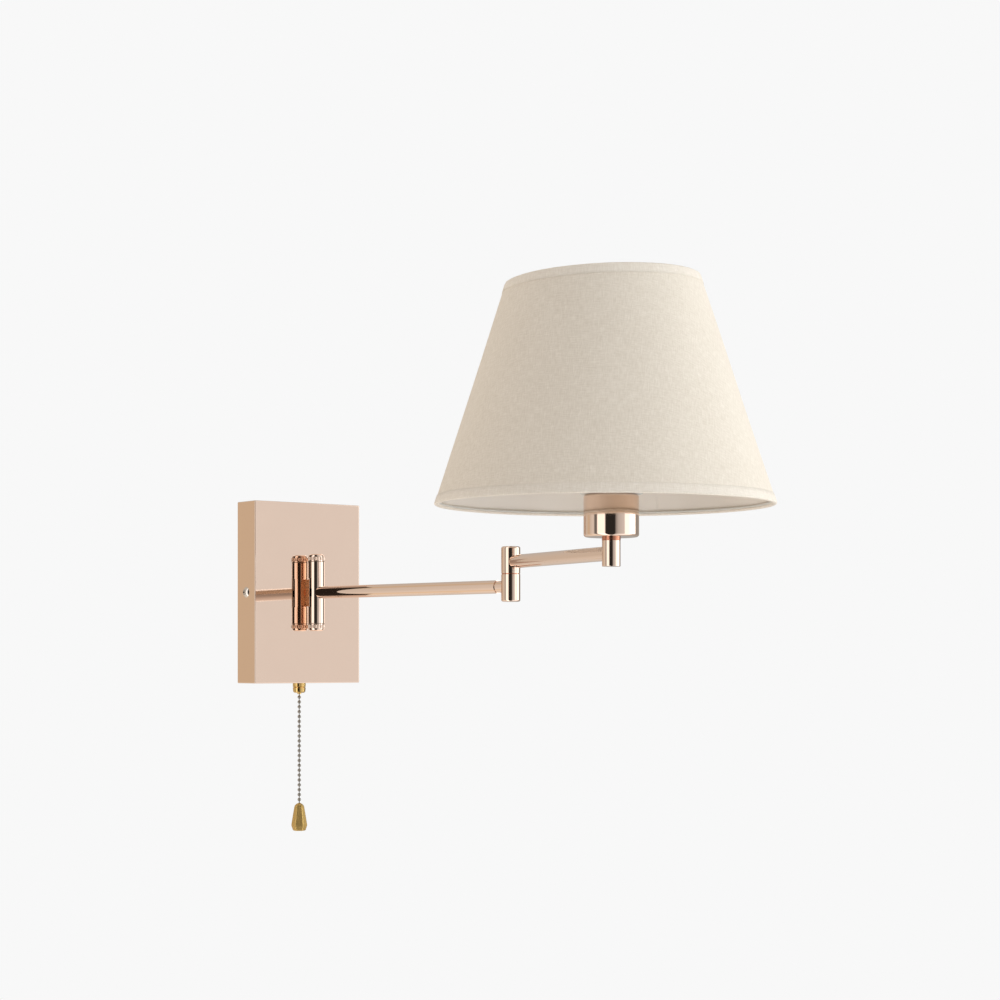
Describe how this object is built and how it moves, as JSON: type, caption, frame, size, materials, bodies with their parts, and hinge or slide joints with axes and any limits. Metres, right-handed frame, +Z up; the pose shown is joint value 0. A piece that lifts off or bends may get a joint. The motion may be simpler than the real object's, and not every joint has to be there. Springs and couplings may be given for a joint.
{
  "type": "swing arm wall sconce",
  "caption": "Wall lamp on a rectangular backplate: a double-jointed swing arm carries a lampholder cup with a tapered linen shade; a ball-chain pull switch hangs below.",
  "frame": {"origin": "centre of the backplate's rear plane, on the wall, at the height of the arm's barrel", "axes": "+Z up, +Y into the wall, so the arm reaches out along -Y; +X runs along the wall"},
  "size_m": [0.2609, 0.5875, 0.4483],
  "materials": {
    "polished_rose_gold": "mirror polished, rose gold plated",
    "copper_washer": "satin copper",
    "turned_brass": "turned brass",
    "zinc_steel": "bright zinc plated",
    "wire_steel": "white powder coated wire",
    "fibre": "pressed fibre",
    "moulded_white": "moulded",
    "moulded_black": "moulded",
    "lead_sleeving": "insulated flex",
    "opal_glass": "frosted",
    "linen": "woven linen",
    "liner": "satin laminate",
    "hem_tape": "bias tape",
    "steel_chain": "nickel plated",
    "satin_gold": "satin"
  },
  "bodies": {
    "wall_unit": {"backplate_cover": "polished_rose_gold", "wall_bracket": "zinc_steel", "cover_side_screws": "zinc_steel", "terminal_block": "moulded_white", "terminal_screws": "turned_brass", "earth_screw": "turned_brass", "earth_washer": "turned_brass", "mounting_post": "polished_rose_gold", "pivot_core": "polished_rose_gold", "barrel_cap_top": "polished_rose_gold", "barrel_cap_bottom": "polished_rose_gold", "barrel_friction_washers": "fibre", "cover_stiffener": "zinc_steel", "post_lock_washer": "zinc_steel", "post_nut": "zinc_steel", "switch_body": "moulded_black", "switch_bush": "turned_brass", "switch_collar_nut": "turned_brass", "switch_cap_nut": "turned_brass", "switch_spring": "zinc_steel", "leads_in_plate": "lead_sleeving", "leads_to_switch": "lead_sleeving"},
    "long_arm": {"barrel_sleeve": "polished_rose_gold", "long_arm_tube": "polished_rose_gold", "long_arm_neck": "polished_rose_gold", "elbow_lower": "polished_rose_gold", "elbow_washer": "copper_washer", "elbow_ring": "polished_rose_gold", "elbow_pin": "turned_brass", "elbow_spring_washer": "zinc_steel", "elbow_nut": "zinc_steel", "elbow_bottom_plug": "polished_rose_gold", "leads_in_long_arm": "lead_sleeving"},
    "short_arm": {"elbow_upper": "polished_rose_gold", "elbow_top_plug": "polished_rose_gold", "short_arm_neck": "polished_rose_gold", "short_arm_tube": "polished_rose_gold", "lamp_stem": "polished_rose_gold", "stem_washer": "copper_washer", "lamp_nipple": "turned_brass", "socket_cup": "polished_rose_gold", "cup_nut": "zinc_steel", "lampholder_body": "moulded_white", "lampholder_shell": "turned_brass", "lampholder_contact": "turned_brass", "bulb_glass": "opal_glass", "bulb_base": "zinc_steel", "shade_fabric": "linen", "shade_liner": "liner", "shade_hem_bottom": "hem_tape", "shade_hem_top": "hem_tape", "shade_ring_bottom": "wire_steel", "shade_ring_top": "wire_steel", "shade_spider": "wire_steel", "shade_ring_nut": "moulded_white", "leads_in_short_arm": "lead_sleeving"},
    "switch_pull": {"switch_plunger": "turned_brass"},
    "chain_upper": {"pull_chain_upper": "steel_chain"},
    "chain_lower": {"pull_chain_lower": "steel_chain", "pull_knob": "satin_gold"}
  },
  "joints": [
    {"name": "arm_swing", "type": "hinge", "parent": "wall_unit", "child": "long_arm", "pos_m": [0, -0.044, 0], "axis": [0, 0, 1], "range_deg": [-87.3, 72.7]},
    {"name": "elbow_swing", "type": "hinge", "parent": "long_arm", "child": "short_arm", "pos_m": [0.03177, -0.29197, 0], "axis": [0, 0, 1], "range_deg": [-101.4, 138.6]},
    {"name": "switch_travel", "type": "slide", "parent": "wall_unit", "child": "switch_pull", "axis": [0, 0, -1], "range_m": [0, 0.008], "stiffness_N_per_m": 1500, "springref_m": -0.002, "deforming": ["switch_spring"]},
    {"name": "chain_swing", "type": "hinge", "parent": "switch_pull", "child": "chain_upper", "pos_m": [0, -0.015, -0.094], "axis": [0, 1, 0], "range_deg": [-35, 35]},
    {"name": "chain_bend", "type": "hinge", "parent": "chain_upper", "child": "chain_lower", "pos_m": [0, -0.015, -0.14356], "axis": [1, 0, 0], "range_deg": [-35, 35]}
  ]
}
